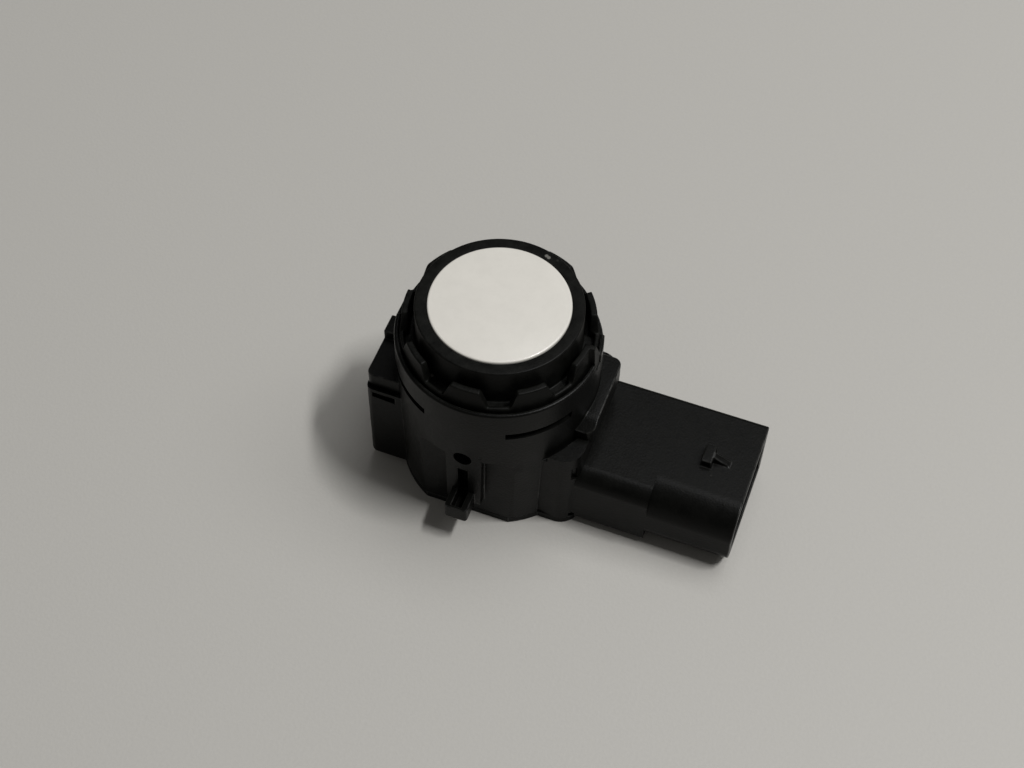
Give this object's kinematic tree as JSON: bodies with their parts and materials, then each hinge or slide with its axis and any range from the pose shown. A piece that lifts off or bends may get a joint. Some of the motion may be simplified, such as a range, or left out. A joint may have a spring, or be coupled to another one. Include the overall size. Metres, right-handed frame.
{
  "type": "parking sensor",
  "caption": "Ultrasonic parking sensor: white painted membrane in a lobed soft ring on a round black housing with a side plug, an ear, hooks, and its electronics inside.",
  "frame": {"origin": "on the sensor's axis at the rear cover's underside", "axes": "+Z along the sensor's axis from the rear cover towards the membrane's face, +X along the plug towards its mouth"},
  "size_m": [0.0437, 0.0276, 0.0271],
  "materials": {
    "housing_plastic": "satin moulded",
    "cover_plastic": "satin moulded",
    "painted_face": "semi-gloss white paint",
    "silicone": "matt",
    "ceramic": "matt fired ceramic",
    "foam": "open foam",
    "tinned_metal": "tinned",
    "copper": "enamelled copper",
    "board": "solder mask",
    "chip_plastic": "moulded",
    "ferrite": "sintered",
    "terminal_metal": "plated"
  },
  "bodies": {
    "root": {"housing": "housing_plastic", "rear_cover": "cover_plastic", "membrane_cup": "painted_face", "decoupling_ring": "silicone", "piezo_disc": "ceramic", "damping_pad": "foam", "contact_carrier": "cover_plastic", "contact_pin_signal": "tinned_metal", "contact_pin_ground": "tinned_metal", "lead_wire_signal": "copper", "lead_wire_ground": "copper", "circuit_board": "board", "control_chip": "chip_plastic", "transformer_base": "cover_plastic", "transformer_core": "ferrite", "transformer_winding": "copper", "storage_capacitor": "ceramic", "filter_capacitor_1": "ceramic", "filter_capacitor_2": "ceramic", "supply_diode": "chip_plastic", "bus_resistor": "chip_plastic", "timing_crystal": "tinned_metal", "terminal_pin_1": "terminal_metal", "terminal_pin_2": "terminal_metal", "terminal_pin_3": "terminal_metal"}
  },
  "joints": []
}
